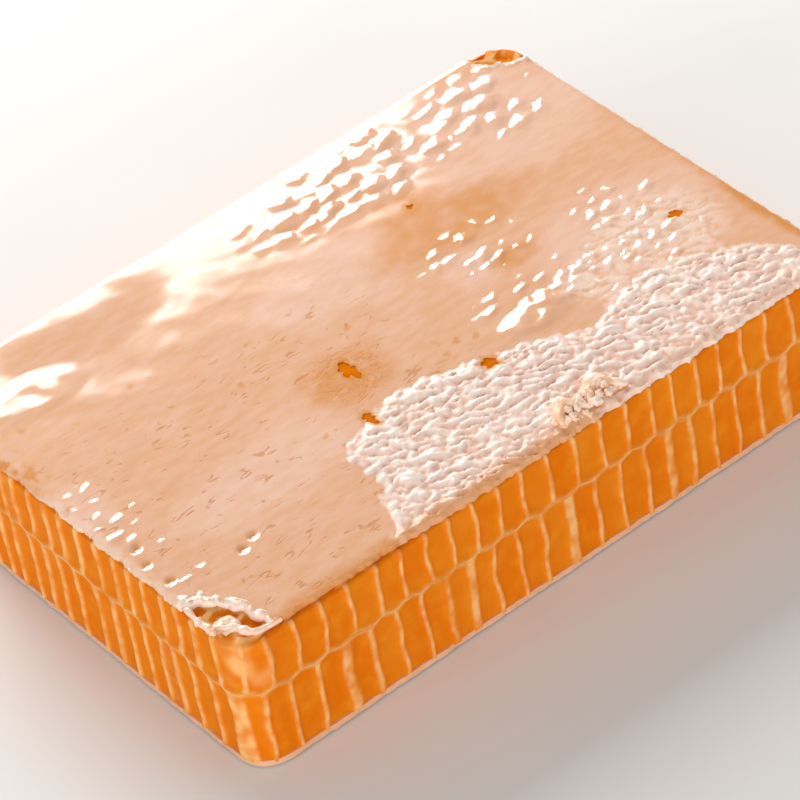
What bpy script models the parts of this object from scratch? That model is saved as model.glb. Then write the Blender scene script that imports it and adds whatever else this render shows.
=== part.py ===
"""A cut block of honeycomb, ready to eat: two layers of honey-filled cells, back to back
on a wax midrib, under and over sheets of wax cappings.

Run it with blender --background --python part.py. Units are metres and +Z is up. The
origin is at the middle of the flat underside, and +X runs along the longer side.
"""

import math
import random

import bmesh
import bpy
from mathutils import Vector

# The knife cuts the block to this size, and the tub it is sold in rounds its corners.
LENGTH = 0.134
WIDTH = 0.094
CORNER_RADIUS = 0.0065

# Worker cells: the distance between two parallel walls, and between two rows.
CELL_PITCH = 0.0054
ROW_PITCH = CELL_PITCH * math.sqrt(3) / 2
CELL_CORNER = CELL_PITCH / math.sqrt(3)

# Bees don't build to a ruler: a slow wave moves each cell by up to this much.
DRIFT = 0.0006
DRIFT_WAVELENGTH = 0.021

# The layers from below, with a fit gap between each two solids.
FIT_GAP = 0.0003
BOTTOM_CAP = 0.0012
LOWER_DEPTH = 0.0146
MIDRIB = 0.0008
UPPER_DEPTH = 0.0096
TOP_CAP = 0.0010

# Cut cells: walls stand proud of the honey, which sags a little between them.
WALL = 0.0006
WALL_FOOT = 0.0003
WALL_LEAN = 0.0004
HONEY_INSET = 0.0004
HONEY_SAG = 0.0003
NARROWEST_CELL = 0.0022
CUT_STEP = 0.0001

# Cappings: each cell's lid is a low dome, almost flat where the tub's lid pressed on it.
# Their edge is torn, and lies a little inside the cut.
FLAT_DOME = 0.00015
PROUD_DOME = 0.00070
DOME_SPREAD = 0.35
CAP_INSET = 0.0003
CAP_RAGGEDNESS = 0.0011
UNDERSIDE_ROUNDING = 0.0008

# Patches whose lids stayed proud: the centre and half sizes of an ellipse.
PROUD_PATCHES = (
    (-0.005, -0.034, 0.023, 0.016),
    (0.026, -0.039, 0.034, 0.012),
    (0.046, -0.024, 0.017, 0.017),
    (0.036, 0.033, 0.024, 0.008),
)

# Corners where the cappings broke away: the corner's side in x and in y, and how far
# the bite runs along each.
CORNER_BITES = (
    (-1, -1, 0.0100, 0.0165),
    (1, 1, 0.0110, 0.0105),
)
BITE_DEPTH = 0.75

# Cells whose lid is punctured, and how deep the pit is.
PUNCTURES = (
    (-0.0108, -0.0058),
    (-0.0160, -0.0183),
    (0.0069, -0.0225),
    (0.0241, 0.0203),
    (0.0542, -0.0163),
)
PIT_DEPTH = 0.0007

# A crumb of torn wax, pushed up along the front edge by the knife: its middle, half
# sizes, narrow waist, lumps and bend.
SCRAP_CENTRE = (0.0113, -0.0435)
SCRAP_HALF_SIZE = (0.0080, 0.0030, 0.0016)
SCRAP_WAIST = 0.35
SCRAP_WAIST_WIDTH = 0.22
SCRAP_LUMPS = 0.14
SCRAP_BEND = 0.35
SCRAP_FLAT_BELOW = -0.55

CAPPING_COLOUR = (0.86, 0.58, 0.42, 1.0)
PALE_WAX_COLOUR = (0.93, 0.74, 0.50, 1.0)
HONEY_COLOUR = (0.72, 0.17, 0.004, 1.0)

SEED = 5


def clear_scene():
    """Removes what the startup file put in the scene."""
    for obj in list(bpy.data.objects):
        bpy.data.objects.remove(obj, do_unlink=True)


def make_material(name, colour, roughness):
    """A plain Principled material."""
    material = bpy.data.materials.new(name)
    material.use_nodes = True
    shader = material.node_tree.nodes["Principled BSDF"]
    shader.inputs["Base Color"].default_value = colour
    shader.inputs["Roughness"].default_value = roughness
    shader.inputs["Metallic"].default_value = 0.0
    material.diffuse_color = colour
    return material


def add_object(name, builder, material=None):
    """Turns a finished bmesh into a named object in the scene."""
    bmesh.ops.recalc_face_normals(builder, faces=builder.faces)
    mesh = bpy.data.meshes.new(name)
    builder.to_mesh(mesh)
    builder.free()
    obj = bpy.data.objects.new(name, mesh)
    bpy.context.scene.collection.objects.link(obj)
    if material:
        mesh.materials.append(material)
    return obj


def plate(builder, outlines, heights):
    """A closed solid with one outline at each height, from its flat underside up."""
    rings = []
    for outline, height in zip(outlines, heights):
        rings.append([builder.verts.new((p.x, p.y, height)) for p in outline])
    builder.faces.new(reversed(rings[0]))
    builder.faces.new(rings[-1])
    for lower, upper in zip(rings, rings[1:]):
        for here in range(len(lower)):
            after = (here + 1) % len(lower)
            builder.faces.new((lower[here], lower[after], upper[after], upper[here]))


# ---------------------------------------------------------------- the cut outline

STRAIGHTS = (LENGTH - 2 * CORNER_RADIUS, WIDTH - 2 * CORNER_RADIUS)
CORNER_ARC = CORNER_RADIUS * math.pi / 2
PERIMETER = 2 * sum(STRAIGHTS) + 4 * CORNER_ARC


def cut_point(distance, inset=0.0):
    """The point this far along the rounded outline, counter-clockwise from the left end of
    the front side, moved inwards by inset."""
    left = distance % PERIMETER
    for turn in range(4):
        straight = STRAIGHTS[turn % 2]
        reach = (WIDTH, LENGTH)[turn % 2] / 2
        angle = turn * math.pi / 2
        heading = Vector((math.cos(angle), math.sin(angle)))
        outward = Vector((heading.y, -heading.x))
        if left <= straight:
            on_side = outward * reach + heading * (left - straight / 2)
            return on_side - outward * inset
        left -= straight
        if left <= CORNER_ARC:
            centre = outward * (reach - CORNER_RADIUS) + heading * straight / 2
            swing = angle - math.pi / 2 + left / CORNER_RADIUS
            spoke = Vector((math.cos(swing), math.sin(swing)))
            return centre + spoke * (CORNER_RADIUS - inset)
        left -= CORNER_ARC
    return cut_point(0.0, inset)


# ---------------------------------------------------------------- the cells


def drifted(point):
    """Where a point of the regular pattern ends up in the comb that the bees drew out."""
    turn = 2 * math.pi / DRIFT_WAVELENGTH
    across = DRIFT * math.sin(turn * (point.y + 0.4 * point.x) + 1.0)
    along = DRIFT * math.sin(turn * (0.9 * point.x - 0.6 * point.y) + 2.0)
    return Vector((point.x + across, point.y + along))


def cell_centre(column, row, phase):
    """The middle of a cell in the regular pattern. Every other row is shifted by half a cell."""
    shift = 0.5 * (row % 2)
    return Vector(((column + shift) * CELL_PITCH + phase[0], row * ROW_PITCH + phase[1]))


def cell_at(point, phase):
    """The column and row of the cell that holds the point, which has the nearest centre."""
    place = 2 * point - drifted(point)
    first_row = math.floor((place.y - phase[1]) / ROW_PITCH)
    near = []
    for row in (first_row, first_row + 1):
        column = round((place.x - phase[0]) / CELL_PITCH - 0.5 * (row % 2))
        away = (place - cell_centre(column, row, phase)).length
        near.append((away, column, row))
    return min(near)[1:]


def walls_along_cut(phase):
    """How far along the outline the knife crossed each cell wall."""
    walls = []
    last = cell_at(cut_point(0.0), phase)
    for count in range(1, int(PERIMETER / CUT_STEP)):
        distance = count * CUT_STEP
        here = cell_at(cut_point(distance), phase)
        if here != last and (not walls or distance - walls[-1] > NARROWEST_CELL):
            walls.append(distance)
        last = here
    if walls[0] + PERIMETER - walls[-1] < NARROWEST_CELL:
        walls.pop()
    return walls


def scalloped_outline(walls, shifts):
    """Points round the block: a ridge at each wall, and sagging honey between two walls."""
    ridge = (
        (-WALL / 2 - WALL_FOOT, HONEY_INSET),
        (-WALL / 2, 0.0),
        (WALL / 2, 0.0),
        (WALL / 2 + WALL_FOOT, HONEY_INSET),
    )
    points = []
    for number, (wall, shift) in enumerate(zip(walls, shifts)):
        following = walls[(number + 1) % len(walls)]
        if following < wall:
            following += PERIMETER
        for offset, inset in ridge:
            points.append(cut_point(wall + shift + offset, inset))
        points.append(cut_point((wall + following) / 2, HONEY_INSET + HONEY_SAG))
    return points


def make_cell_layer(name, low, high, phase, rng, material):
    """One layer of cells, full of honey, cut through all round the block. Walls lean a little."""
    walls = walls_along_cut(phase)
    upright = [0.0] * len(walls)
    leaning = [rng.uniform(-WALL_LEAN, WALL_LEAN) for _ in walls]
    builder = bmesh.new()
    outlines = [scalloped_outline(walls, upright), scalloped_outline(walls, leaning)]
    plate(builder, outlines, [low, high])
    return add_object(name, builder, material)


# ---------------------------------------------------------------- midrib and cappings


def plain_outline(inset=0.0):
    """The cut outline with a point every half cell."""
    count = round(2 * PERIMETER / CELL_PITCH)
    return [cut_point(number * PERIMETER / count, inset) for number in range(count)]


def make_midrib(name, low, high, material):
    """The sheet of wax that both layers of cells are built on."""
    builder = bmesh.new()
    outline = plain_outline()
    plate(builder, [outline, outline], [low, high])
    return add_object(name, builder, material)


def make_bottom_cap(name, low, high, material):
    """The lower cappings, pressed flat by the block's own weight, with a soft lower edge."""
    builder = bmesh.new()
    outline = plain_outline()
    outlines = [plain_outline(UNDERSIDE_ROUNDING), outline, outline]
    plate(builder, outlines, [low, (low + high) / 2, high])
    return add_object(name, builder, material)


def bitten(point):
    """Moves a point of the cappings' outline in where a corner broke away."""
    for side_x, side_y, reach_x, reach_y in CORNER_BITES:
        along = (LENGTH / 2 - side_x * point.x) / reach_x
        across = (WIDTH / 2 - side_y * point.y) / reach_y
        push = BITE_DEPTH * max(0.0, 1.0 - math.hypot(along, across))
        point = point - Vector((side_x * reach_x * push, side_y * reach_y * push))
    return point


def torn_outline(rng):
    """The ragged edge of the top cappings."""
    count = len(plain_outline())
    points = []
    for number in range(count):
        inset = CAP_INSET + rng.uniform(0.0, CAP_RAGGEDNESS)
        points.append(bitten(cut_point(number * PERIMETER / count, inset)))
    return points


def make_cap_cutter(name, low, high, rng):
    """The torn outline as a tall cutter, which the render leaves out."""
    builder = bmesh.new()
    outline = torn_outline(rng)
    plate(builder, [outline, outline], [low, high])
    cutter = add_object(name, builder)
    cutter.hide_render = True
    cutter.display_type = "WIRE"
    return cutter


def insideness(point, centre, half_x, half_y):
    """1 in the middle of an ellipse, 0 on its outline and less outside it."""
    return 1.0 - math.hypot((point.x - centre[0]) / half_x, (point.y - centre[1]) / half_y)


def lid_height(centre, rng):
    """How far the middle of a cell's lid stands above its rim, or lies below it."""
    swell = 1.0 + rng.uniform(-DOME_SPREAD, DOME_SPREAD)
    half = CELL_PITCH / 2
    if any((centre - Vector(hole)).length < half for hole in PUNCTURES):
        return -PIT_DEPTH
    if insideness(centre, SCRAP_CENTRE, SCRAP_HALF_SIZE[0] + half, SCRAP_HALF_SIZE[1] + half) > 0:
        return FLAT_DOME
    proud = max(insideness(centre, patch[:2], *patch[2:]) for patch in PROUD_PATCHES)
    share = min(1.0, max(0.0, 3.0 * proud))
    return (FLAT_DOME + (PROUD_DOME - FLAT_DOME) * share) * swell


def add_lid(builder, centre, rim, height, shared_corners):
    """One cell's lid: six triangles from its peak, on corners that its neighbours share."""
    peak = builder.verts.new((*drifted(centre), rim + height))
    ring = []
    for turn in range(6):
        angle = math.radians(30 + 60 * turn)
        corner = centre + Vector((math.cos(angle), math.sin(angle))) * CELL_CORNER
        key = (round(corner.x, 5), round(corner.y, 5))
        if key not in shared_corners:
            shared_corners[key] = builder.verts.new((*drifted(corner), rim))
        ring.append(shared_corners[key])
    for turn in range(6):
        builder.faces.new((peak, ring[turn], ring[(turn + 1) % 6]))


def make_top_cap(name, low, rim, phase, rng, material):
    """The upper cappings: a sheet of six-sided lids, one over each cell, cut to its outline."""
    builder = bmesh.new()
    shared_corners = {}
    last_row = math.ceil((WIDTH / 2 - phase[1]) / ROW_PITCH) + 1
    last_column = math.ceil(LENGTH / 2 / CELL_PITCH) + 1
    for row in range(-1, last_row):
        for column in range(-last_column, last_column):
            centre = cell_centre(column, row, phase)
            add_lid(builder, centre, rim, lid_height(centre, rng), shared_corners)
    border = [edge for edge in builder.edges if edge.is_boundary]
    dropped = bmesh.ops.extrude_edge_only(builder, edges=border)["geom"]
    for vert in (item for item in dropped if isinstance(item, bmesh.types.BMVert)):
        vert.co.z = low
    hem = [item for item in dropped if isinstance(item, bmesh.types.BMEdge) and item.is_boundary]
    bmesh.ops.contextual_create(builder, geom=hem)
    cap = add_object(name, builder, material)
    cap.data.shade_smooth()
    cap.data.set_sharp_from_angle(angle=math.radians(40))
    cut = cap.modifiers.new("torn edge", "BOOLEAN")
    cut.operation = "INTERSECT"
    cut.solver = "EXACT"
    cut.object = make_cap_cutter(name + "_cutter", low - TOP_CAP, rim + 2 * TOP_CAP, rng)
    return cap


def make_scrap(name, rest_height, material):
    """A lumpy crumb of wax with a narrow waist, lying flat on the cappings."""
    builder = bmesh.new()
    bmesh.ops.create_icosphere(builder, subdivisions=3, radius=1.0)
    half_x, half_y, half_z = SCRAP_HALF_SIZE
    for vert in builder.verts:
        x, y, z = vert.co
        waist = 1.0 - SCRAP_WAIST * math.exp(-((x / SCRAP_WAIST_WIDTH) ** 2))
        lumps = 1.0 + SCRAP_LUMPS * math.sin(6.0 * x + 2.0 * y) * math.cos(5.0 * y + 3.0 * z)
        bend = SCRAP_BEND * math.cos(2.6 * x)
        height = max(z * waist * lumps, SCRAP_FLAT_BELOW)
        vert.co = (x * half_x, (y * waist * lumps + bend) * half_y, height * half_z)
    lowest = min(vert.co.z for vert in builder.verts)
    place = Vector((*SCRAP_CENTRE, rest_height - lowest))
    bmesh.ops.translate(builder, verts=builder.verts, vec=place)
    scrap = add_object(name, builder, material)
    scrap.data.shade_smooth()
    return scrap


def main():
    """Stacks the layers from the table up."""
    clear_scene()
    rng = random.Random(SEED)
    capping_wax = make_material("capping_wax", CAPPING_COLOUR, 0.45)
    pale_wax = make_material("pale_wax", PALE_WAX_COLOUR, 0.55)
    honey = make_material("honey_in_cells", HONEY_COLOUR, 0.12)

    # A row of cell middles lies just inside the front cut. The lower cells are shifted
    # against the upper ones, so that three cells meet at each cell's middle.
    upper_phase = (0.0018, -WIDTH / 2 + 0.0005)
    lower_phase = (upper_phase[0] + CELL_PITCH / 2, upper_phase[1] - ROW_PITCH / 3)

    make_bottom_cap("cappings_bottom", 0.0, BOTTOM_CAP, capping_wax)
    lower_low = BOTTOM_CAP + FIT_GAP
    lower_high = lower_low + LOWER_DEPTH
    make_cell_layer("cells_lower", lower_low, lower_high, lower_phase, rng, honey)
    rib_low = lower_high + FIT_GAP
    rib_high = rib_low + MIDRIB
    make_midrib("midrib", rib_low, rib_high, pale_wax)
    upper_low = rib_high + FIT_GAP
    upper_high = upper_low + UPPER_DEPTH
    make_cell_layer("cells_upper", upper_low, upper_high, upper_phase, rng, honey)
    cap_low = upper_high + FIT_GAP
    cap_rim = cap_low + TOP_CAP
    make_top_cap("cappings_top", cap_low, cap_rim, upper_phase, rng, capping_wax)
    make_scrap("wax_scrap", cap_rim + FLAT_DOME + FIT_GAP, pale_wax)


main()
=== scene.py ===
"""The looks of a cut block of honeycomb: pressed and dry wax cappings over two layers of
cut cells full of honey, on a pale floor in soft light.

Sizes are in millimetres, and the frame's metres are only used where objects are made.
"""

import math

import bmesh
import bpy
import numpy as np
from mathutils import Matrix, Vector, noise as solid_noise


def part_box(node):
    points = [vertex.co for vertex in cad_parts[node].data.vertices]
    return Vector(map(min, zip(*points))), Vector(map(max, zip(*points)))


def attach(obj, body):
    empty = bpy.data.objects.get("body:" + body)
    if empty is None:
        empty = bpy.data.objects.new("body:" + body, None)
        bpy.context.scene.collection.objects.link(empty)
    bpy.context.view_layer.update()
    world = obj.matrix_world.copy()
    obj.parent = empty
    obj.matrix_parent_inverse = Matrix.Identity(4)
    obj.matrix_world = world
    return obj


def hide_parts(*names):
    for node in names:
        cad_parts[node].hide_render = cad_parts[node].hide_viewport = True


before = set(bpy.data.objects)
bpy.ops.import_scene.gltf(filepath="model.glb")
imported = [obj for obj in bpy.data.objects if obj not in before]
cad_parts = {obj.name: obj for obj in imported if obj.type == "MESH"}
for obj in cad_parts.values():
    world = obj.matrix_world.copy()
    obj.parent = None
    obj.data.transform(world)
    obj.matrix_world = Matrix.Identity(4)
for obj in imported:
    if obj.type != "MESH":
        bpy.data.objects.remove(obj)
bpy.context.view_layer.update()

MM = 0.001


def box_mm(node):
    """The lowest and the highest corner of a CAD node, in millimetres."""
    low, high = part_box(node)
    return np.array(low) / MM, np.array(high) / MM


# ---------------------------------------------------------------- sizes

HALF_X, HALF_Y = box_mm("cells_upper")[1][:2]
CORNER_RADIUS = 6.5

UNDERSIDE_TOP = box_mm("cappings_bottom")[1][2]
UNDERSIDE_THICKNESS = UNDERSIDE_TOP + 0.3
RIB_MIDDLE = (box_mm("midrib")[0][2] + box_mm("midrib")[1][2]) / 2
CAP_BASE = box_mm("cappings_top")[0][2]
CAP_LEVEL = CAP_BASE + 1.15

# The cells, laid out as in the CAD: every other row is shifted by half a cell.
CELL_PITCH = 5.4
ROW_PITCH = CELL_PITCH * math.sqrt(3) / 2
DRIFT = 0.6
DRIFT_WAVELENGTH = 21.0
UPPER_PHASE = (1.8, -HALF_Y + 0.5)
LOWER_PHASE = (UPPER_PHASE[0] + CELL_PITCH / 2, UPPER_PHASE[1] - ROW_PITCH / 3)

# Meshes: how far apart the points lie.
CAP_STEP = 0.39
UNDERSIDE_STEP = 0.9
CUT_STEP = 0.3
SIDE_ROW = 0.42

# The torn edge of the top cappings.
EDGE_INSET = 0.7
EDGE_SCALLOP = 0.4
EDGE_RAGGED = 0.25

# Corners where the cappings broke away: side in x, side in y, reach in x, reach in y.
BITES = (
    (-1, -1, 8.6, 15.6),
    (1, 1, 9.0, 8.5),
)

# Punctured lids: middle and half sizes.
PUNCTURES = (
    (-10.8, -5.8, 1.3, 2.7),
    (-16.0, -18.3, 0.9, 1.8),
    (6.9, -22.5, 1.3, 1.5),
    (24.1, 20.3, 0.9, 0.7),
    (54.2, -16.3, 1.3, 1.1),
)

# Burst bubbles in the film.
BUBBLES = (
    (-50.6, -27.8),
    (-47.6, -26.4),
    (-63.0, -14.5),
    (-64.2, -19.0),
    (-63.6, -25.0),
)

# The patch that the lid never touched: dry, white and wrinkled.
DRY_PATCH = (
    (-24.5, -23.0),
    (-16.0, -18.6),
    (-8.8, -17.0),
    (0.2, -19.6),
    (12.4, -23.2),
    (25.0, -29.5),
    (31.5, -26.5),
    (38.6, -25.0),
    (47.0, -27.0),
    (55.5, -31.0),
    (60.5, -37.0),
    (64.5, -50.0),
    (-33.0, -50.0),
    (-31.6, -45.6),
    (-24.1, -32.3),
)

# Where the wrinkles show pale through the film, their crests painted paler still as painted light.
FILMED_WRINKLES = (
    (48.0, -18.0, 12.0, 11.0),
    (34.0, -19.0, 7.0, 6.0),
)

# Where drops stand up in the film: the middle and half sizes of an ellipse, how far apart
# the drops are, how long they are and how many of their places are filled.
DROP_PATCHES = (
    (25.0, 2.0, 10.0, 6.0, 3.4, 1.5, 0.8),
    (25.0, -12.5, 11.0, 4.0, 3.7, 1.5, 0.7),
    (50.0, -5.0, 8.0, 5.0, 3.9, 1.7, 0.75),
    (48.0, -17.0, 8.0, 11.0, 3.6, 1.5, 0.75),
    (34.0, -17.0, 6.0, 6.0, 3.4, 1.3, 0.65),
    (27.0, 34.0, 24.0, 7.5, 4.9, 2.1, 0.9),
    (52.0, 32.0, 9.5, 9.0, 5.4, 2.3, 0.8),
    (-61.0, -13.0, 4.5, 18.0, 3.9, 1.0, 0.5),
)

# Blisters under the film, which catch the light on their far side.
BLISTERS = (
    (20.0, -19.0, 6.5, 3.0, 0.3),
    (27.0, -17.5, 4.0, 2.0, 0.2),
    (-52.0, 30.0, 9.0, 4.5, 0.06),
    (-34.0, 51.0, 17.0, 16.0, 0.22),
)

# Small spots where honey shows through: the middle of each and its size.
SPOTS = (
    (6.6, -13.8, 0.9),
    (9.6, -15.2, 0.8),
    (3.4, -15.2, 0.7),
    (-24.1, -16.2, 0.6),
    (-4.0, 2.7, 0.7),
    (-38.9, 19.0, 0.7),
    (-58.6, 24.0, 0.9),
    (-64.0, 14.0, 1.3),
    (-25.6, 5.1, 0.7),
)

# Where the pressed cappings are paler and pinker, and where honey tints them.
PALE_CLOUDS = (
    (-36.0, -16.0, 17.0, 8.5),
    (2.0, 15.0, 15.0, 9.0),
    (-63.0, 1.0, 5.0, 6.0),
    (46.0, -10.0, 17.0, 9.0),
    (50.0, 27.0, 22.0, 14.0),
    (21.0, -1.0, 6.0, 5.0),
)
TINTED_PATCHES = (
    (26.0, 12.0, 17.0, 6.5),
    (28.0, -4.0, 5.0, 3.0),
    (-12.0, -7.0, 8.0, 7.0),
    (24.0, 20.0, 7.0, 5.0),
    (66.0, -28.0, 2.5, 12.0),
)


# Strands of torn wax at the broken front corner: a route, and how thick.
TORN_RIDGES = (
    (((-65.8, -31.6, 27.9), (-65.9, -35.2, 27.7), (-65.7, -38.5, 27.6), (-65.6, -41.0, 26.8)), 0.85),
    (((-65.4, -38.3, 27.6), (-62.5, -40.9, 27.9), (-61.6, -44.2, 27.9), (-56.4, -45.4, 28.0)), 0.8),
)


# ---------------------------------------------------------------- shape functions


def smooth(low, high, value):
    """0 below low, 1 above high, and a smooth step between them."""
    share = np.clip((value - low) / (high - low), 0.0, 1.0)
    return share * share * (3.0 - 2.0 * share)


def relief(x, y, size, seed, octaves=1):
    """Smooth random relief, about -1 to 1, on a lattice of this size. Each octave halves it."""
    angles = np.random.default_rng(seed).uniform(0.0, 2.0 * np.pi, (256, 256))
    total = np.zeros(np.broadcast(x, y).shape)
    for octave in range(octaves):
        u = x / size * 2**octave + 37.3 * octave
        v = y / size * 2**octave + 11.7 * octave
        column = np.floor(u).astype(int)
        row = np.floor(v).astype(int)
        fu = u - column
        fv = v - row
        corners = {}
        for i in (0, 1):
            for j in (0, 1):
                angle = angles[(column + i) % 256, (row + j) % 256]
                corners[i, j] = np.cos(angle) * (fu - i) + np.sin(angle) * (fv - j)
        su = fu**3 * (fu * (fu * 6.0 - 15.0) + 10.0)
        sv = fv**3 * (fv * (fv * 6.0 - 15.0) + 10.0)
        low = corners[0, 0] * (1.0 - su) + corners[1, 0] * su
        high = corners[0, 1] * (1.0 - su) + corners[1, 1] * su
        total = total + 1.6 * (low * (1.0 - sv) + high * sv) / 2**octave
    return total


def turned(x, y, degrees):
    """The same points, in axes turned by this angle."""
    angle = math.radians(degrees)
    return x * math.cos(angle) + y * math.sin(angle), y * math.cos(angle) - x * math.sin(angle)


def inset_from_cut(x, y):
    """How far inside the rounded outline of the block each point lies."""
    over_x = np.abs(x) - (HALF_X - CORNER_RADIUS)
    over_y = np.abs(y) - (HALF_Y - CORNER_RADIUS)
    outside = np.hypot(np.maximum(over_x, 0.0), np.maximum(over_y, 0.0))
    inside = np.minimum(np.maximum(over_x, over_y), 0.0)
    return CORNER_RADIUS - outside - inside


def cut_outline(count):
    """Points evenly spaced along the rounded outline, their outward directions, and how far
    along it they are, from the left end of the front side and counter-clockwise."""
    straights = (2 * (HALF_X - CORNER_RADIUS), 2 * (HALF_Y - CORNER_RADIUS))
    arc = CORNER_RADIUS * math.pi / 2
    perimeter = 2 * sum(straights) + 4 * arc
    along = np.arange(count) * perimeter / count
    points = np.zeros((count, 2))
    outward = np.zeros((count, 2))
    start = 0.0
    for turn in range(4):
        straight = straights[turn % 2]
        reach = (HALF_Y, HALF_X)[turn % 2]
        angle = turn * math.pi / 2
        heading = np.array((math.cos(angle), math.sin(angle)))
        out = np.array((heading[1], -heading[0]))
        here = (along >= start) & (along < start + straight)
        points[here] = out * reach + heading * (along[here] - start - straight / 2)[:, None]
        outward[here] = out
        start += straight
        here = (along >= start) & (along < start + arc)
        swing = angle - math.pi / 2 + (along[here] - start) / CORNER_RADIUS
        spokes = np.stack((np.cos(swing), np.sin(swing)), axis=1)
        centre = out * (reach - CORNER_RADIUS) + heading * straight / 2
        points[here] = centre + spokes * CORNER_RADIUS
        outward[here] = spokes
        start += arc
    return points, outward, along


def cells(x, y, phase):
    """For each point: its distance from the nearest cell wall, its place from the middle of
    its cell, and two random numbers that belong to the cell."""
    turn = 2.0 * math.pi / DRIFT_WAVELENGTH
    px = x - DRIFT * np.sin(turn * (y + 0.4 * x) + 1.0)
    py = y - DRIFT * np.sin(turn * (0.9 * x - 0.6 * y) + 2.0)
    first_row = np.round((py - phase[1]) / ROW_PITCH)
    nearest = np.full(px.shape, 1e9)
    second = np.full(px.shape, 1e9)
    off_x = np.zeros(px.shape)
    off_y = np.zeros(px.shape)
    code = np.zeros(px.shape)
    for row_step in (-1, 0, 1):
        row = first_row + row_step
        shift = 0.5 * (row % 2)
        first_column = np.round((px - phase[0]) / CELL_PITCH - shift)
        for column_step in (-1, 0, 1):
            column = first_column + column_step
            dx = px - ((column + shift) * CELL_PITCH + phase[0])
            dy = py - (row * ROW_PITCH + phase[1])
            away = np.hypot(dx, dy)
            closer = away < nearest
            second = np.where(closer, nearest, np.minimum(second, away))
            off_x = np.where(closer, dx, off_x)
            off_y = np.where(closer, dy, off_y)
            code = np.where(closer, column * 57.0 + row * 131.0, code)
            nearest = np.where(closer, away, nearest)
    chance = np.modf(np.abs(np.sin(code * 12.9898) * 43758.5453))[0]
    other = np.modf(np.abs(np.sin(code * 78.233 + 4.1) * 12543.123))[0]
    return (second - nearest) / 2.0, off_x, off_y, chance, other


def inside_outline(x, y, outline):
    """Distance inside a closed outline of straight lines, negative outside it."""
    nearest = np.full(x.shape, 1e9)
    crossings = np.zeros(x.shape, dtype=int)
    for (ax, ay), (bx, by) in zip(outline, outline[1:] + outline[:1]):
        ex, ey = bx - ax, by - ay
        share = np.clip(((x - ax) * ex + (y - ay) * ey) / (ex * ex + ey * ey), 0.0, 1.0)
        nearest = np.minimum(nearest, np.hypot(x - ax - share * ex, y - ay - share * ey))
        if ay != by:
            level = ((ay > y) != (by > y)) & (x < ex * (y - ay) / ey + ax)
            crossings += level
    return np.where(crossings % 2 == 1, nearest, -nearest)


def blob(x, y, centre_x, centre_y, half_x, half_y):
    """1 in the middle of an ellipse, 0.5 on its outline, and fading to 0 outside it."""
    away = np.hypot((x - centre_x) / half_x, (y - centre_y) / half_y)
    return 1.0 - smooth(0.6, 1.4, away)


# ---------------------------------------------------------------- the top cappings


def dry_share(x, y, spread=0.0):
    """1 where the cappings are dry and wrinkled, 0 where the lid pressed them flat."""
    ragged = 1.1 * relief(x, y, 2.4, 11, 2)
    return smooth(-0.35, 0.55, inside_outline(x, y, DRY_PATCH) + ragged + spread)


def share_of(x, y, patches):
    """1 inside any of these ellipses, fading to 0 outside them."""
    share = np.zeros(x.shape)
    for patch in patches:
        share = np.maximum(share, blob(x, y, *patch))
    return share


def puncture_distance(x, y):
    """Distance from the nearest puncture's torn edge, negative inside it."""
    distance = np.full(x.shape, 1e9)
    torn = 0.3 * relief(x, y, 1.3, 21, 2)
    for centre_x, centre_y, half_x, half_y in PUNCTURES:
        away = np.hypot((x - centre_x) / half_x, (y - centre_y) / half_y)
        angle = np.arctan2(y - centre_y, x - centre_x)
        spikes = 0.17 * np.sin(5.0 * angle + centre_x) + 0.08 * np.sin(8.0 * angle + centre_y)
        distance = np.minimum(distance, (away - 1.0 - spikes) * (half_x + half_y) / 2.0 + torn)
    return distance


def bite_distance(x, y):
    """Distance from the edge of the nearest broken corner, negative where it broke away."""
    distance = np.full(x.shape, 1e9)
    torn = 0.8 * relief(x, y, 2.0, 22, 2)
    for side_x, side_y, reach_x, reach_y in BITES:
        along = (HALF_X - side_x * x) / reach_x
        across = (HALF_Y - side_y * y) / reach_y
        away = (np.hypot(along, across) - 1.0) * (reach_x + reach_y) / 2.0
        distance = np.minimum(distance, away + torn)
    return distance


def cap_margin(x, y):
    """Distance inside the torn edge of the cappings, negative outside it."""
    wall = cells(x, y, UPPER_PHASE)[0]
    near_front_corner = smooth(-8.0, -50.0, x) * smooth(-30.0, -46.0, y)
    recess = EDGE_INSET + EDGE_SCALLOP * smooth(0.3, 2.2, wall) + 0.9 * near_front_corner
    recess = recess + EDGE_RAGGED * relief(x, y, 1.5, 23, 2)
    margin = inset_from_cut(x, y) - np.maximum(recess, 0.1)
    return np.minimum(np.minimum(margin, puncture_distance(x, y)), bite_distance(x, y))


def drops(x, y, spacing, length, filled):
    """Drops in the film, one to a place in a rough lattice, each longer one way."""
    scale = CELL_PITCH / spacing
    bend = 0.6 * relief(x, y, 2.2, 43)
    _, off_x, off_y, chance, other = cells((x + bend) * scale, (y - bend) * scale, UPPER_PHASE)
    u, v = turned(off_x / scale + other - 0.5, off_y / scale + chance - 0.5, 22.0)
    reach = length * (0.55 + 0.7 * other)
    rise = np.exp(-(((u / reach) ** 2 + (v / (0.6 * reach)) ** 2) ** 1.3))
    return 0.16 * reach * rise * smooth(filled, filled - 0.2, chance)


def wrinkles(x, y):
    """The dry cappings' relief, 0 in the creases and about 1 on the rolls between them."""
    bend = 0.8 * relief(x, y, 4.0, 31)
    u, v = turned(x + bend, y + 0.7 * relief(x, y, 3.1, 32), -27.0)
    rolls = np.sqrt(np.abs(relief(u * 0.4, v, 2.0, 33)) + 0.003)
    knobs = np.sqrt(np.abs(relief(u * 0.7, v, 1.4, 34)) + 0.003)
    return 0.75 * rolls + 0.45 * knobs + 0.12 * relief(u, v, 0.9, 35)


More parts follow.
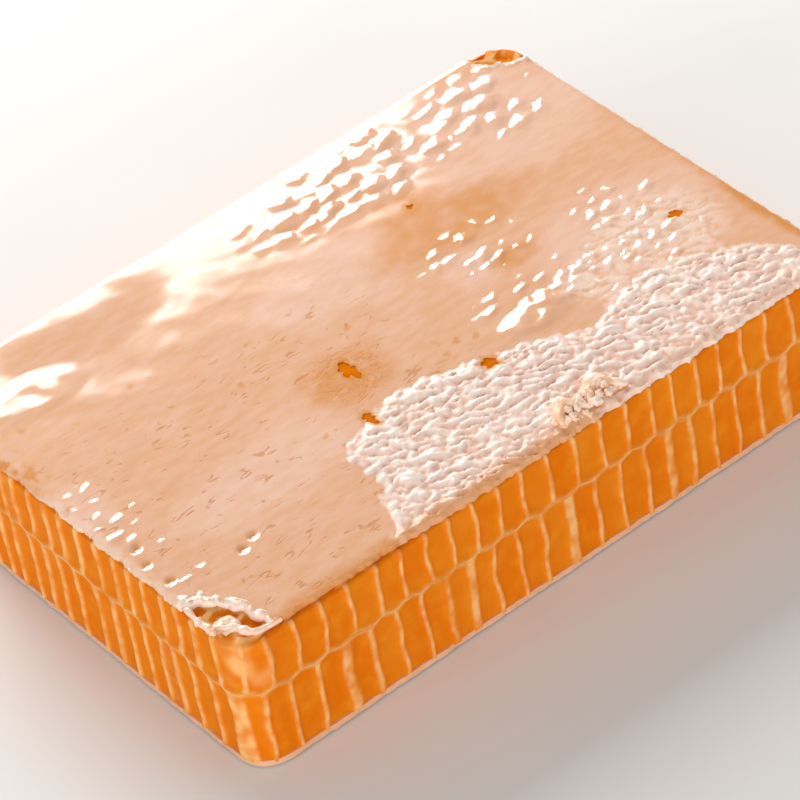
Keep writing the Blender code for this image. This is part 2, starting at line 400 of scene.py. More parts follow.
def cap_height(x, y):
    """The top surface of the cappings."""
    dry = dry_share(x, y)
    u, v = turned(x, y, -36.0)
    height = 0.016 * relief(u * 0.6, v, 7.0, 41) + 0.003 * relief(x, y, 3.0, 42)
    for centre_x, centre_y, half_x, half_y, rise in BLISTERS:
        lumps = 1.0 + 0.4 * relief(x, y, 0.9 * half_y, 46)
        height = height + rise * lumps * blob(x, y, centre_x, centre_y, half_x, half_y)
    for *patch, spacing, length, filled in DROP_PATCHES:
        swell = drops(x, y, spacing, length, filled) + 0.008 * spacing * relief(x, y, spacing, 44)
        height = height + blob(x, y, *patch) * swell
    folds = wrinkles(x, y)
    height = height + 0.16 * share_of(x, y, FILMED_WRINKLES) * (folds - 0.6)
    whole = smooth(-0.3, 1.6, puncture_distance(x, y))
    height = height * (1.0 - dry) + dry * (0.95 * folds - 0.3) * whole
    outer = np.minimum(inset_from_cut(x, y) - EDGE_INSET, bite_distance(x, y))
    height = height - 0.6 * smooth(1.4, -0.2, outer) ** 1.5
    torn = np.exp(-(((bite_distance(x, y) - 0.6) / 0.55) ** 2))
    height = height + torn * (0.4 + 0.35 * relief(x, y, 1.6, 45))
    for centre_x, centre_y in BUBBLES:
        away = np.hypot(x - centre_x, y - centre_y) + 0.25 * relief(x, y, 1.0, 47)
        height = height - 0.35 * np.exp(-((away / 0.8) ** 4))
    return CAP_LEVEL + height


def cap_masks(x, y):
    """What the cappings' material reads at each point."""
    dry = dry_share(x, y, 0.8)
    # The crests of the wrinkles: painted light on the rolls and painted shade in the creases between them, laid
    # over the wax's own white.
    crest = smooth(0.25, 0.85, wrinkles(x, y) + 0.15 * relief(x, y, 5.0, 50))
    clouds = share_of(x, y, PALE_CLOUDS) + 0.4 * relief(x, y, 11.0, 51, 3)
    film = share_of(x, y, FILMED_WRINKLES)
    # In the filmed wrinkles the crests are painted paler: painted light.
    clouds = clouds * (1.0 - film) + film * (0.3 + 0.9 * crest)
    tint = share_of(x, y, TINTED_PATCHES) * smooth(-1.8, 0.7, relief(x, y, 4.0, 52, 3))
    left_edge = smooth(-60.5, -64.5, x) * smooth(6.0, 13.0, y) * smooth(0.0, 0.4, relief(x, y, 2.4, 53, 2))
    hole = smooth(1.3, 0.0, puncture_distance(x, y) + 0.5 * relief(x, y, 1.0, 54))
    for centre_x, centre_y, size in SPOTS + tuple((*bubble, 1.0) for bubble in BUBBLES):
        spot = blob(x, y, centre_x, centre_y, size, size) * smooth(-0.6, 0.2, relief(x, y, 0.9, 58))
        hole = np.maximum(hole, spot)
    outer = inset_from_cut(x, y) + 0.8 * relief(x, y, 3.0, 55, 2)
    front = smooth(-36.0, -42.0, y)
    edge = smooth(3.8 + 1.2 * front, 1.0 + 0.5 * front, outer) * smooth(30.0, -36.0, y)
    edge = edge * (1.0 - 0.75 * front * smooth(4.0, 20.0, x))
    stain = np.clip(0.75 * tint * (1.0 - dry) + 0.85 * left_edge + 0.85 * hole + 0.75 * edge, 0.0, 1.0)
    torn = smooth(1.7, 0.4, bite_distance(x, y) + 0.6 * relief(x, y, 1.2, 57))
    rim = smooth(0.3, 0.0, cap_margin(x, y)) * smooth(8.0, 24.0, x) * smooth(4.0, 2.0, outer)
    lip = smooth(3.2, 1.0, outer) * smooth(-59.0, -63.0, x) * smooth(12.0, 4.0, y)
    # The crests of the filmed wrinkles also take the pale torn-wax colour, as painted light.
    torn = np.maximum(torn, np.maximum(0.35 * rim, np.maximum(0.5 * lip, 0.6 * film * crest)))
    cracked = np.exp(-(((np.hypot(x + 11.5, y + 7.0) - 4.6) / 2.4) ** 2))
    creased = smooth(28.0, 4.0, y) * smooth(16.0, -6.0, x) * (1.0 - 0.6 * cracked)
    return {
        "dry": dry,
        "crest": crest,
        "cloud": np.clip(clouds, 0.0, 1.0),
        "stain": stain * (1.0 - torn),
        "torn": torn,
        "creased": 0.6 * creased * (1.0 - dry),
        "cracked": 0.55 * cracked * (1.0 - dry),
    }


# ---------------------------------------------------------------- mesh helpers


def finish_piece(name, mesh, material, nodes, sharp=55.0):
    """Names the mesh's object, gives it its material and ties it to the CAD."""
    obj = bpy.data.objects.new(name, mesh)
    bpy.context.scene.collection.objects.link(obj)
    mesh.materials.clear()
    mesh.materials.append(material)
    mesh.shade_smooth()
    mesh.set_sharp_from_angle(angle=math.radians(sharp))
    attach(obj, "root")
    if nodes:
        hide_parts(*nodes)
    return obj


def mesh_from(name, points, faces, masks):
    """A mesh from points in millimetres, with one number for each point under each mask."""
    mesh = bpy.data.meshes.new(name)
    mesh.from_pydata((points * MM).tolist(), [], faces)
    for mask, values in masks.items():
        layer = mesh.attributes.new(mask, "FLOAT", "POINT")
        layer.data.foreach_set("value", np.ascontiguousarray(values, dtype=np.float32))
    return mesh


def sheet_mesh(name, step, margin_of, height_of, masks_of, base, turned_over=0.0):
    """A closed sheet over the block: a fine surface out to a torn edge, and a flat base. With
    turned_over, its flat base is then up at that height and the fine surface is below."""
    columns = int(2 * HALF_X / step) + 1
    rows = int(2 * HALF_Y / step) + 1
    x, y = np.meshgrid(
        np.linspace(-HALF_X, HALF_X, columns), np.linspace(-HALF_Y, HALF_Y, rows), indexing="ij"
    )
    margin = margin_of(x, y)
    probe = 0.04
    slope_x = (margin_of(x + probe, y) - margin_of(x - probe, y)) / (2 * probe)
    slope_y = (margin_of(x, y + probe) - margin_of(x, y - probe)) / (2 * probe)
    steep = np.maximum(slope_x**2 + slope_y**2, 0.25)
    near = np.abs(margin) / np.sqrt(steep) < 0.5 * step
    x = np.where(near, x - margin * slope_x / steep, x)
    y = np.where(near, y - margin * slope_y / steep, y)
    used = (margin > 0) | near
    number = np.arange(x.size).reshape(x.shape)
    quads = np.stack((number[:-1, :-1], number[1:, :-1], number[1:, 1:], number[:-1, 1:]), axis=-1)
    quads = quads.reshape(-1, 4)
    kept = used.ravel()[quads]
    faces = quads[kept.all(axis=1)].tolist()
    for quad, keep in zip(quads[kept.sum(axis=1) == 3], kept[kept.sum(axis=1) == 3]):
        faces.append(quad[keep].tolist())
    flat_x, flat_y = x.ravel(), y.ravel()
    points = np.stack((flat_x, flat_y, height_of(flat_x, flat_y)), axis=1)
    mesh = mesh_from(name, points, faces, masks_of(flat_x, flat_y))
    builder = bmesh.new()
    builder.from_mesh(mesh)
    loose = [vert for vert in builder.verts if not vert.link_faces]
    bmesh.ops.delete(builder, geom=loose, context="VERTS")
    border = [edge for edge in builder.edges if edge.is_boundary]
    dropped = bmesh.ops.extrude_edge_only(builder, edges=border)["geom"]
    for vert in (item for item in dropped if isinstance(item, bmesh.types.BMVert)):
        vert.co.z = base * MM
    hem = [edge for edge in builder.edges if edge.is_boundary]
    bmesh.ops.triangle_fill(builder, use_beauty=False, use_dissolve=False, edges=hem)
    if turned_over:
        for vert in builder.verts:
            vert.co.z = turned_over * MM - vert.co.z
    bmesh.ops.recalc_face_normals(builder, faces=builder.faces)
    if builder.calc_volume(signed=True) < 0.0:
        bmesh.ops.reverse_faces(builder, faces=builder.faces)
    builder.to_mesh(mesh)
    builder.free()
    return mesh


def ring_mesh(name, rows, masks):
    """A closed solid from rings of points, stacked from the lowest to the innermost top one.
    rows is an array of rows, points and x, y, z."""
    row_count, count = rows.shape[:2]
    number = np.arange(row_count * count).reshape(row_count, count)
    after = np.roll(number, -1, axis=1)
    quads = np.stack((number[:-1], after[:-1], after[1:], number[1:]), axis=-1).reshape(-1, 4)
    faces = quads.tolist()
    faces.append(number[0][::-1].tolist())
    faces.append(number[-1].tolist())
    return mesh_from(name, rows.reshape(-1, 3), faces, masks)


# ---------------------------------------------------------------- the cut cells


def rib_height(points):
    """Where the midrib meets the cut: up at the upper walls and down at the lower ones."""
    upper = cells(points[:, 0], points[:, 1], UPPER_PHASE)[0]
    lower = cells(points[:, 0], points[:, 1], LOWER_PHASE)[0]
    uneven = 0.22 * relief(points[:, 0], points[:, 1], 7.0, 61)
    return RIB_MIDDLE + 0.22 * (lower - upper) + uneven


def cut_face(points, outward, along, height, phase, seed):
    """How deep the honey and the walls lie on the cut at this height, and how waxy it is."""
    level = np.full(along.shape, height)
    tangent = np.stack((-outward[:, 1], outward[:, 0]), axis=1)
    lean = 0.55 * relief(along, level, 6.5, seed)
    place = points + tangent * lean[:, None]
    wall = cells(place[:, 0], place[:, 1], phase)[0]
    wall = wall + 0.06 * relief(along, level, 0.9, seed + 1, 2)
    end = np.abs(height - rib_height(points)) - 0.3
    blend = np.clip(0.5 + 0.5 * (end - wall) / 1.2, 0.0, 1.0)
    nearest = end * (1.0 - blend) + wall * blend - 1.2 * blend * (1.0 - blend)
    depth = 0.12 + 0.42 * smooth(0.1, 1.1, nearest)
    depth = depth + 0.04 * relief(along, level, 2.7, seed + 2)
    left = smooth(0.3, 0.9, -outward[:, 0])
    faded = np.clip(0.62 + 0.55 * relief(along, level, 2.8, seed + 3, 2), 0.2, 1.0)
    waxy = smooth(0.52 + 0.3 * left, 0.16 + 0.12 * left, wall)
    waxy = np.maximum(waxy, 0.5 * smooth(0.5, 0.0, end)) * faded
    corner = smooth(6.0, 0.5, np.hypot(points[:, 0] + HALF_X, points[:, 1] + HALF_Y) - 2.0)
    smeared = corner * smooth(RIB_MIDDLE, RIB_MIDDLE + 4.0, height)
    smeared = smeared * smooth(-0.6, 0.6, relief(along, level, 4.5, seed + 4))
    return depth, np.maximum(waxy, 0.85 * smeared)


def shrunk(points, amount):
    """The outline drawn in towards the middle, by amount at the long sides."""
    return points * (1.0 - amount / HALF_Y)


def layer_rows(base, top, phase, seed, shoulder):
    """The rings of one layer of cells, and its masks. A shoulder rounds over onto its top."""
    count = int(round(445.0 / CUT_STEP))
    points, outward, along = cut_outline(count)
    tint = cells(points[:, 0], points[:, 1], phase)[3]
    rows = []
    masks = {"waxy": [], "tint": []}

    def add(ring, height, waxy):
        rows.append(np.column_stack((ring, np.broadcast_to(height, (count,)))))
        masks["waxy"].append(np.broadcast_to(waxy, (count,)))
        masks["tint"].append(tint)

    add(shrunk(points, 3.0), base, 0.0)
    side_top = top - shoulder
    heights = np.linspace(base, side_top, int((side_top - base) / SIDE_ROW) + 1)
    for height in heights:
        depth, waxy = cut_face(points, outward, along, height, phase, seed)
        add(points - outward * depth[:, None], height, waxy)
    depth, waxy = cut_face(points, outward, along, side_top, phase, seed)
    if not shoulder:
        add(shrunk(points, 3.0), top, 0.0)
        return rows, masks
    edge = points - outward * depth[:, None]
    brim = 0.3 * smooth(0.2, 1.3, cells(edge[:, 0], edge[:, 1], phase)[0])
    for turn in (25.0, 50.0, 72.0, 88.0):
        angle = math.radians(turn)
        ring = edge - outward * (shoulder * (1.0 - math.cos(angle)))
        add(ring, side_top + (shoulder - brim) * math.sin(angle), waxy)
    for step in range(1, 20):
        amount = 0.9 + 0.5 * step
        ring = shrunk(points, amount)
        wall, _, _, chance, _ = cells(ring[:, 0], ring[:, 1], phase)
        broken = smooth(3.5, -3.5, bite_distance(ring[:, 0], ring[:, 1]))
        sunk = smooth(0.2, 1.3, wall) * (0.3 + 0.4 * broken * chance)
        bump = 0.12 * relief(ring[:, 0], ring[:, 1], 1.4, seed + 5, 2)
        add(ring, top - sunk + bump, smooth(0.6, 0.2, wall))
    add(shrunk(points, 12.0), top - 0.3, 0.0)
    return rows, masks


def make_layer(name, node, base, top, phase, seed, shoulder, material):
    """One layer of cut cells, from the midrib to the cappings."""
    rows, masks = layer_rows(base, top, phase, seed, shoulder)
    flat = {mask: np.concatenate(values) for mask, values in masks.items()}
    mesh = ring_mesh(name, np.array(rows), flat)
    return finish_piece(name, mesh, material, [node])


def make_midrib(material):
    """The wavy edge of the midrib, a little proud of the honey."""
    points, outward, along = cut_outline(int(round(445.0 / CUT_STEP)))
    middle = rib_height(points)
    thick = 0.34 + 0.12 * relief(along, 0.0 * along, 3.0, 71)
    rows = []
    for lift, inset in ((-1.0, 2.5), (-1.0, 0.5), (-0.6, 0.14), (0.0, 0.04), (0.6, 0.14), (1.0, 0.5), (1.0, 2.5)):
        ring = points - outward * (inset + 0.04 * relief(along, middle, 1.0, 72))[:, None]
        rows.append(np.column_stack((ring, middle + lift * thick)))
    mesh = ring_mesh("midrib_edge", np.array(rows), {})
    return finish_piece("midrib_edge", mesh, material, ["midrib"])


# ---------------------------------------------------------------- small wax and honey


def lumpy_solid(name, centre, half, lumps, seed, bend=0.0, waist=0.0, detail=4):
    """A lumpy closed blob: a sphere, stretched, bent, narrowed and pushed about by noise."""
    builder = bmesh.new()
    bmesh.ops.create_icosphere(builder, subdivisions=detail, radius=1.0)
    for vert in builder.verts:
        x, y, z = vert.co
        narrow = 1.0 - waist * math.exp(-((x / 0.25) ** 2))
        y = y * narrow + bend * math.cos(2.6 * x)
        spot = Vector((x * half[0], y * half[1], z * narrow * half[2]))
        push = solid_noise.fractal(spot * 0.42 + Vector((seed, 2.0 * seed, 0.0)), 1.1, 2.1, 5)
        spot = spot + Vector(vert.co) * lumps * push
        vert.co = (spot + Vector(centre)) * MM
    mesh = bpy.data.meshes.new(name)
    builder.to_mesh(mesh)
    builder.free()
    return mesh


def ridge_mesh(name, route, radius, seed):
    """A crooked ridge of torn wax along a route, thick and thin by turns."""
    route = [Vector(point) for point in route]
    steps = 90
    rings = []
    for step in range(steps + 1):
        share = step / steps * (len(route) - 1)
        leg = min(int(share), len(route) - 2)
        blend = share - leg
        blend = blend * blend * (3.0 - 2.0 * blend)
        centre = route[leg].lerp(route[leg + 1], blend)
        wander = solid_noise.noise_vector(Vector((share * 1.9, seed, 0.0)))
        centre = centre + wander * 0.35
        ends = math.sin(math.pi * min(max(step / steps, 0.002), 0.998)) ** 0.4
        thick = radius * (0.85 + 0.45 * solid_noise.noise(Vector((share * 2.3, seed, 5.0)))) * ends
        heading = (route[leg + 1] - route[leg]).normalized()
        side = heading.cross(Vector((0.0, 0.0, 1.0))).normalized()
        lift = side.cross(heading)
        ring = []
        for turn in range(14):
            angle = 2.0 * math.pi * turn / 14
            bump = 1.0 + 0.3 * solid_noise.noise(Vector((share * 4.0, math.cos(angle), math.sin(angle) + seed)))
            ring.append(centre + (side * math.cos(angle) + lift * math.sin(angle) * 1.1) * thick * bump)
        rings.append([tuple(point) for point in ring])
    return ring_mesh(name, np.array(rings), {})


# ---------------------------------------------------------------- materials


class Nodes:
    """A new material's node tree, with a short way to add each kind of node that is used."""

    def __init__(self, name):
        self.material = bpy.data.materials.new(name)
        self.material.use_nodes = True
        self.tree = self.material.node_tree
        self.shader = self.tree.nodes["Principled BSDF"]
        self.place = self.tree.nodes.new("ShaderNodeTexCoord").outputs["Object"]

    def link(self, source, socket):
        """Joins an output to an input, or sets the input to a plain value."""
        if isinstance(source, bpy.types.NodeSocket):
            self.tree.links.new(source, socket)
        else:
            socket.default_value = source

    def mask(self, name):
        """A number stored on the mesh."""
        node = self.tree.nodes.new("ShaderNodeAttribute")
        node.attribute_name = name
        return node.outputs["Fac"]

    def stretched(self, scale, turn):
        """The place on the object, turned about the vertical and scaled along each axis."""
        node = self.tree.nodes.new("ShaderNodeMapping")
        node.inputs["Scale"].default_value = scale
        node.inputs["Rotation"].default_value = (0.0, 0.0, math.radians(turn))
        self.link(self.place, node.inputs["Vector"])
        return node.outputs["Vector"]

    def height(self, low_mm, high_mm):
        """0 below one height on the object and 1 above the other."""
        node = self.tree.nodes.new("ShaderNodeSeparateXYZ")
        self.link(self.place, node.inputs["Vector"])
        return self.between(node.outputs["Z"], low_mm * MM, high_mm * MM)

    def noise(self, size_mm, detail=3.0, place=None):
        """Noise whose features are about this many millimetres across."""
        node = self.tree.nodes.new("ShaderNodeTexNoise")
        node.inputs["Scale"].default_value = 1.0 / (size_mm * MM)
        node.inputs["Detail"].default_value = detail
        self.link(place or self.place, node.inputs["Vector"])
        return node.outputs["Fac"]

    def between(self, value, low, high):
        """0 below low, 1 above high."""
        node = self.tree.nodes.new("ShaderNodeMapRange")
        node.interpolation_type = "SMOOTHSTEP"
        node.inputs["From Min"].default_value = low
        node.inputs["From Max"].default_value = high
        self.link(value, node.inputs["Value"])
        return node.outputs["Result"]

    def lines(self, noise, width):
        """1 along the lines where the noise passes through its middle value."""
        away = self.math("ABSOLUTE", self.math("SUBTRACT", noise, 0.5), 0.0)
        return self.between(away, width, 0.2 * width)

    def math(self, kind, first, second):
        """A sum, product or other operation on two numbers."""
        node = self.tree.nodes.new("ShaderNodeMath")
        node.operation = kind
        self.link(first, node.inputs[0])
        self.link(second, node.inputs[1])
        return node.outputs[0]

    def mix(self, share, first, second):
        """A colour between two colours."""
        node = self.tree.nodes.new("ShaderNodeMix")
        node.data_type = "RGBA"
        self.link(share, node.inputs["Factor"])
        self.link(first if isinstance(first, bpy.types.NodeSocket) else (*first, 1.0), node.inputs[6])
        self.link(second if isinstance(second, bpy.types.NodeSocket) else (*second, 1.0), node.inputs[7])
        return node.outputs[2]

    def blend(self, share, first, second):
        """A number between two numbers."""
        node = self.tree.nodes.new("ShaderNodeMix")
        self.link(share, node.inputs["Factor"])
        self.link(first, node.inputs[2])
        self.link(second, node.inputs[3])
        return node.outputs[0]

    def bump(self, height, distance_mm, strength=1.0):
        """Fine relief on the shader's normal."""
        node = self.tree.nodes.new("ShaderNodeBump")
        node.inputs["Distance"].default_value = distance_mm * MM
        node.inputs["Strength"].default_value = strength
        self.link(height, node.inputs["Height"])
        self.link(node.outputs["Normal"], self.shader.inputs["Normal"])

    def finish(self, **values):
        """Sets the shader's sockets, named in words joined by underscores."""
        for words, value in values.items():
            self.link(value, self.shader.inputs[words.replace("_", " ")])
        return self.material


PRESSED_TAN = (0.81, 0.42, 0.225)
PRESSED_PINK = (0.90, 0.56, 0.41)
# On the dry patch: white wax with painted light on the crests, and a painted shade colour for the valleys.
DRY_WHITE = (0.98, 0.80, 0.71)
DRY_PAINTED_SHADE = (0.89, 0.54, 0.41)
STAIN_ORANGE = (0.74, 0.29, 0.06)
# Crease and crack lines: partly honey in them, partly painted shade.
CREASE_STAIN_AND_SHADE = (0.62, 0.22, 0.05)
TORN_WAX = (1.0, 0.79, 0.66)
HONEY_DEEP = (0.77, 0.17, 0.002)
HONEY_LIGHT = (0.83, 0.28, 0.015)
CUT_WAX = (0.93, 0.50, 0.19)
CREAM_WAX = (1.0, 0.77, 0.62)
STAINED_WAX = (1.0, 0.60, 0.36)


def capping_material():
    """Beeswax cappings: pressed and filmed over, or dry, white and wrinkled, with painted light on the crests of
    the wrinkles and painted shade in their valleys and in the creases.
    """
    nodes = Nodes("capping_wax")
    dry = nodes.mask("dry")
    mottle = nodes.noise(2.4, 4.0, nodes.stretched((0.5, 1.3, 1.0), 36.0))
    cloud = nodes.blend(0.42, nodes.mask("cloud"), nodes.between(mottle, 0.3, 0.7))
    pressed = nodes.mix(cloud, PRESSED_TAN, PRESSED_PINK)
    broken = nodes.between(nodes.noise(3.1, 2.0), 0.55, 0.62)
    strokes = nodes.lines(nodes.noise(2.6, 1.5, nodes.stretched((0.4, 1.5, 1.0), 30.0)), 0.04)
    strokes = nodes.math("MULTIPLY", nodes.math("MULTIPLY", strokes, broken), nodes.mask("creased"))
    cracks = nodes.lines(nodes.noise(2.0, 2.5, nodes.stretched((0.8, 1.2, 1.0), 30.0)), 0.05)
    cracks = nodes.math("MULTIPLY", cracks, nodes.mask("cracked"))
    crease = nodes.math("MAXIMUM", strokes, cracks)
    # The crease and crack lines are painted brown: partly honey caught in them, partly painted shade.
    pressed = nodes.mix(crease, pressed, CREASE_STAIN_AND_SHADE)
    powder = nodes.noise(1.2, 4.0)
    # Dry patch: the crests painted white as painted light, the valleys in the painted shade colour.
    crest = nodes.blend(0.25, nodes.mask("crest"), nodes.between(powder, 0.35, 0.65))
    colour = nodes.mix(dry, pressed, nodes.mix(crest, DRY_PAINTED_SHADE, DRY_WHITE))
    colour = nodes.mix(nodes.mask("stain"), colour, STAIN_ORANGE)
    colour = nodes.mix(nodes.mask("torn"), colour, TORN_WAX)
    grain = nodes.math("SUBTRACT", nodes.math("MULTIPLY", nodes.noise(0.45, 3.0), 0.4), crease)
    nodes.bump(grain, 0.2, 0.5)
    return nodes.finish(
        Base_Color=colour,
        Roughness=nodes.blend(dry, 0.6, 0.75),
        Specular_IOR_Level=0.05,
        Coat_Weight=nodes.blend(dry, 1.0, 0.25),
        Coat_Roughness=0.06,
        Subsurface_Weight=0.12,
        Subsurface_Radius=(0.003, 0.0015, 0.0008),
        Subsurface_Scale=1.0,
    )


def honey_material(name, coat):
    """Honey in cut cells, with the wax walls between them."""
    nodes = Nodes(name)
    waxy = nodes.mask("waxy")
    cloudy = nodes.noise(3.5, 3.0)
    honey = nodes.mix(nodes.between(cloudy, 0.35, 1.0), HONEY_DEEP, HONEY_LIGHT)
    honey = nodes.mix(nodes.math("MULTIPLY", nodes.mask("tint"), 0.3), honey, HONEY_LIGHT)
    colour = nodes.mix(waxy, honey, CUT_WAX)
    grain = nodes.noise(0.8, 3.0)
    nodes.bump(grain, 0.06, 0.4)
    return nodes.finish(
        Base_Color=colour,
        Roughness=nodes.blend(waxy, 0.3, 0.5),
        Specular_IOR_Level=0.0,
        Coat_Weight=coat,
        Coat_Roughness=0.06,
        Subsurface_Weight=0.15,
        Subsurface_Radius=(0.004, 0.0015, 0.0003),
        Subsurface_Scale=1.0,
    )


def pale_wax_material(name, pale, shade, patch, roughness, coat, foot=(-1.0, 0.0)):
    """Bare beeswax, stained by honey in patches and below a height, given as low and high."""
    nodes = Nodes(name)
    patches = nodes.between(nodes.noise(patch, 4.0), 0.66, 0.42)
    colour = nodes.mix(nodes.math("MULTIPLY", patches, nodes.height(*foot)), shade, pale)
    nodes.bump(nodes.noise(0.5, 3.0), 0.1, 0.5)
    return nodes.finish(
        Base_Color=colour,
        Roughness=roughness,
        Coat_Weight=coat,
        Coat_Roughness=0.1,
        Subsurface_Weight=0.15,
        Subsurface_Radius=(0.001, 0.001, 0.001),
        Subsurface_Scale=1.0,
    )


# ---------------------------------------------------------------- the block


def underside_margin(x, y):
    """Distance inside the edge of the lower cappings."""
    return inset_from_cut(x, y) - 0.2 - 0.15 * relief(x, y, 2.0, 81, 2)


def underside_height(x, y):
    """Thickness of the lower cappings: flat where the block rests, with dimples at the walls."""
    wall = cells(x, y, LOWER_PHASE)[0]
    rounded = 0.35 * smooth(1.6, 0.0, underside_margin(x, y))
    dimple = 0.12 * smooth(0.9, 0.0, wall)
    return UNDERSIDE_THICKNESS - dimple - rounded


def no_masks(x, y):
    """The lower cappings are pressed all over."""
    names = ("dry", "crest", "cloud", "stain", "torn", "creased", "cracked")
    return {name: np.zeros(x.shape) for name in names}


def make_pools(material):
    """Honey that fills the punctured lids almost to the brim."""
    for number, (x, y, half_x, half_y) in enumerate(PUNCTURES):
        name = "honey_pool_" + str(number + 1)
        half = (half_x + 2.6, half_y + 2.6, 0.5)
        pool = lumpy_solid(name, (x, y, CAP_LEVEL - 0.65), half, 0.12, 5.0 + number)
        finish_piece(name, pool, material, [])


def make_torn_ridges(material):
    """Strands of wax, torn up where the front corner broke."""
    for number, (route, radius) in enumerate(TORN_RIDGES):
        name = "torn_ridge_" + str(number + 1)
        finish_piece(name, ridge_mesh(name, route, radius, 3.0 + number), material, [])
    flap = lumpy_solid("torn_flap", (-63.3, -39.2, 27.2), (2.5, 2.3, 0.7), 0.6, 9.0)
    finish_piece("torn_flap", flap, material, [])


def make_crumb(material):
    """The scrap of wax at the front edge: a flat lump with two curls on top of it."""
    low, high = box_mm("wax_scrap")
    across, depth, _ = (high - low) / 2
    middle_x, middle_y, _ = (low + high) / 2
    lump = lumpy_solid(
        "wax_crumb", (middle_x, middle_y - 0.3, 28.4), (0.9 * across, 0.85 * depth, 1.1), 0.7, 3.0, 0.2, 0.3, 5
    )
    finish_piece("wax_crumb", lump, material, ["wax_scrap"])
    for number, (offset, half_x) in enumerate(((-3.9, 3.3), (3.2, 4.2))):
        name = "wax_curl_" + str(number + 1)
        centre = (middle_x + offset, middle_y + 0.3, 29.4)
        curl = lumpy_solid(name, centre, (half_x, 1.7, 1.3), 0.6, 13.0 + number, 1.2, 0.0, 5)
        finish_piece(name, curl, material, [])


def make_grains(material):
    """Loose grains of wax, on and around the scrap."""
    low, high = box_mm("wax_scrap")
    middle = (low + high) / 2
    half = (high - low) / 2
    draw = np.random.default_rng(17)
    builder = bmesh.new()
    for _ in range(44):
        angle = draw.uniform(0.0, 2.0 * math.pi)
        away = draw.uniform(0.1, 1.0) ** 0.6
        size = draw.uniform(0.35, 0.95)
        centre = Vector((
            middle[0] + half[0] * away * math.cos(angle),
            middle[1] + half[1] * 0.85 * away * math.sin(angle),
            28.6 + 1.7 * (1.0 - away**2),
        ))
        grain = bmesh.ops.create_icosphere(builder, subdivisions=3, radius=1.0)
        for vert in grain["verts"]:
            push = 1.0 + 0.6 * solid_noise.noise(vert.co * 1.3 + centre)
            vert.co = (centre + vert.co * size * push) * MM
    mesh = bpy.data.meshes.new("wax_grains")
    builder.to_mesh(mesh)
    builder.free()
    finish_piece("wax_grains", mesh, material, [])


def make_block():
    """Every piece of the honeycomb."""
    capping = capping_material()
    honey = honey_material("honey_cells", 0.1)
    rib_wax = pale_wax_material("midrib_wax", (0.88, 0.40, 0.11), (0.82, 0.26, 0.03), 4.0, 0.45, 0.2)
    cream = pale_wax_material("scrap_wax", CREAM_WAX, STAINED_WAX, 2.4, 0.7, 0.0, (28.6, 29.8))
    torn = pale_wax_material("torn_wax", (0.98, 0.72, 0.57), (0.96, 0.56, 0.34), 2.0, 0.5, 0.25)

    top = sheet_mesh("capping_sheet", CAP_STEP, cap_margin, cap_height, cap_masks, CAP_BASE - 0.6)
    finish_piece("capping_sheet", top, capping, ["cappings_top"])
    base = sheet_mesh(
        "underside_sheet", UNDERSIDE_STEP, underside_margin, underside_height, no_masks,
        0.0, UNDERSIDE_THICKNESS,
    )
    finish_piece("underside_sheet", base, capping, ["cappings_bottom"])
    make_layer("honey_upper", "cells_upper", RIB_MIDDLE, CAP_BASE + 0.15, UPPER_PHASE, 101, 0.8, honey)
    make_layer("honey_lower", "cells_lower", UNDERSIDE_TOP - 0.1, RIB_MIDDLE, LOWER_PHASE, 131, 0.0, honey)
    make_midrib(rib_wax)
    make_pools(honey_material("honey_pools", 0.0))
    make_torn_ridges(torn)
    make_crumb(cream)
    make_grains(cream)


# ---------------------------------------------------------------- floor, light and camera


def make_floor():
    """A plain pale floor."""
    mesh = bpy.data.meshes.new("floor")
    size = 3.0
    mesh.from_pydata([(-size, -size, 0), (size, -size, 0), (size, size, 0), (-size, size, 0)], [], [(0, 1, 2, 3)])
    floor = bpy.data.objects.new("floor", mesh)
    bpy.context.scene.collection.objects.link(floor)
    nodes = Nodes("floor")
    colour = nodes.mix(nodes.noise(60.0), (0.80, 0.79, 0.77), (0.84, 0.83, 0.81))
    mesh.materials.append(nodes.finish(Base_Color=colour, Roughness=0.7))


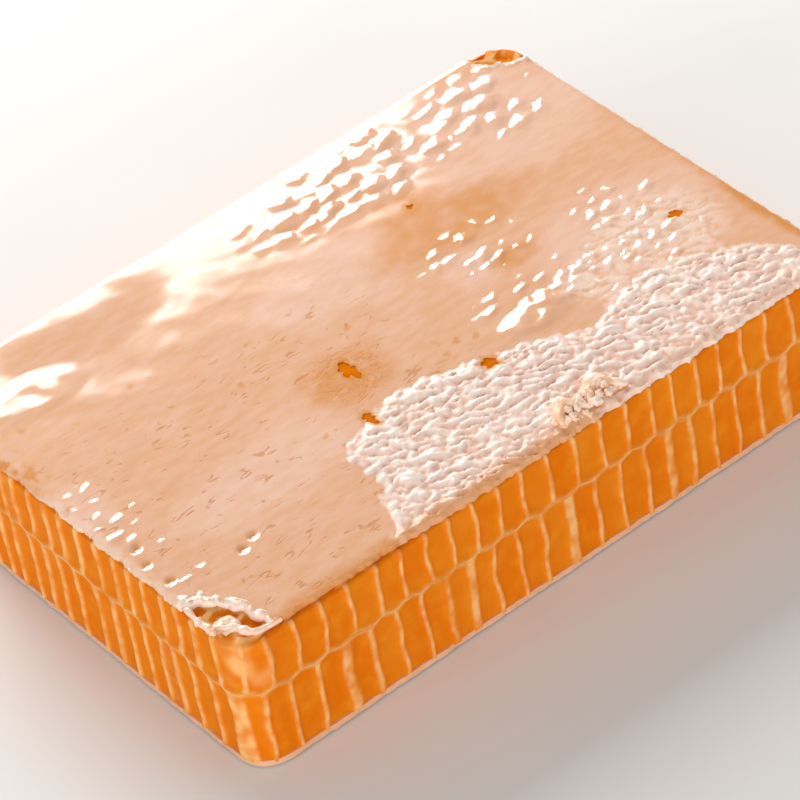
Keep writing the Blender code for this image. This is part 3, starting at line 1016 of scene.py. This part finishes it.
def add_panel(name, centre, target, size, power, colour=(1.0, 1.0, 1.0)):
    """A soft rectangular lamp that the camera doesn't see, facing target."""
    lamp = bpy.data.lights.new(name, "AREA")
    lamp.shape = "RECTANGLE"
    lamp.size, lamp.size_y = size
    lamp.energy = power
    lamp.color = colour
    obj = bpy.data.objects.new(name, lamp)
    obj.location = centre
    obj.rotation_euler = (Vector(target) - Vector(centre)).to_track_quat("-Z", "Y").to_euler()
    obj.visible_camera = False
    bpy.context.scene.collection.objects.link(obj)
    return obj


def make_lights():
    """A bright room, a tall window behind the block and two soft lamps."""
    world = bpy.data.worlds.new("room")
    world.use_nodes = True
    world.node_tree.nodes["Background"].inputs["Color"].default_value = (1.0, 0.985, 0.965, 1.0)
    world.node_tree.nodes["Background"].inputs["Strength"].default_value = 0.36
    bpy.context.scene.world = world
    add_panel("window", (0.32, 1.0, 0.5), (0.32, 0.0, 0.5), (0.7, 0.86), 22.0)
    add_panel("front_fill", (-0.4, -1.2, 0.33), (0.0, 0.0, 0.0), (1.0, 0.6), 8.0)
    add_panel("left_fill", (-1.2, -0.1, 0.35), (0.0, 0.0, 0.0), (0.6, 0.6), 4.5)


def make_camera():
    """The viewing angle: from the front left and above, leaning a little."""
    azimuth, elevation, roll = math.radians(-32.31), math.radians(40.54), math.radians(-10.29)
    back = Vector((
        math.sin(azimuth) * math.cos(elevation),
        -math.cos(azimuth) * math.cos(elevation),
        math.sin(elevation),
    ))
    level_right = (-back).cross(Vector((0.0, 0.0, 1.0))).normalized()
    level_up = level_right.cross(-back)
    right = math.cos(roll) * level_right + math.sin(roll) * level_up
    up = math.cos(roll) * level_up - math.sin(roll) * level_right
    data = bpy.data.cameras.new("camera")
    data.sensor_width = 36.0
    data.lens = 232.5
    data.clip_start = 0.05
    data.clip_end = 20.0
    camera = bpy.data.objects.new("camera", data)
    turn = Matrix((right, up, back)).transposed().to_4x4()
    camera.matrix_world = Matrix.Translation((-0.36285, -0.57703, 0.59378)) @ turn
    bpy.context.scene.collection.objects.link(camera)
    bpy.context.scene.camera = camera


make_camera()
make_lights()
make_floor()
make_block()
bpy.context.scene.view_settings.view_transform = "Standard"
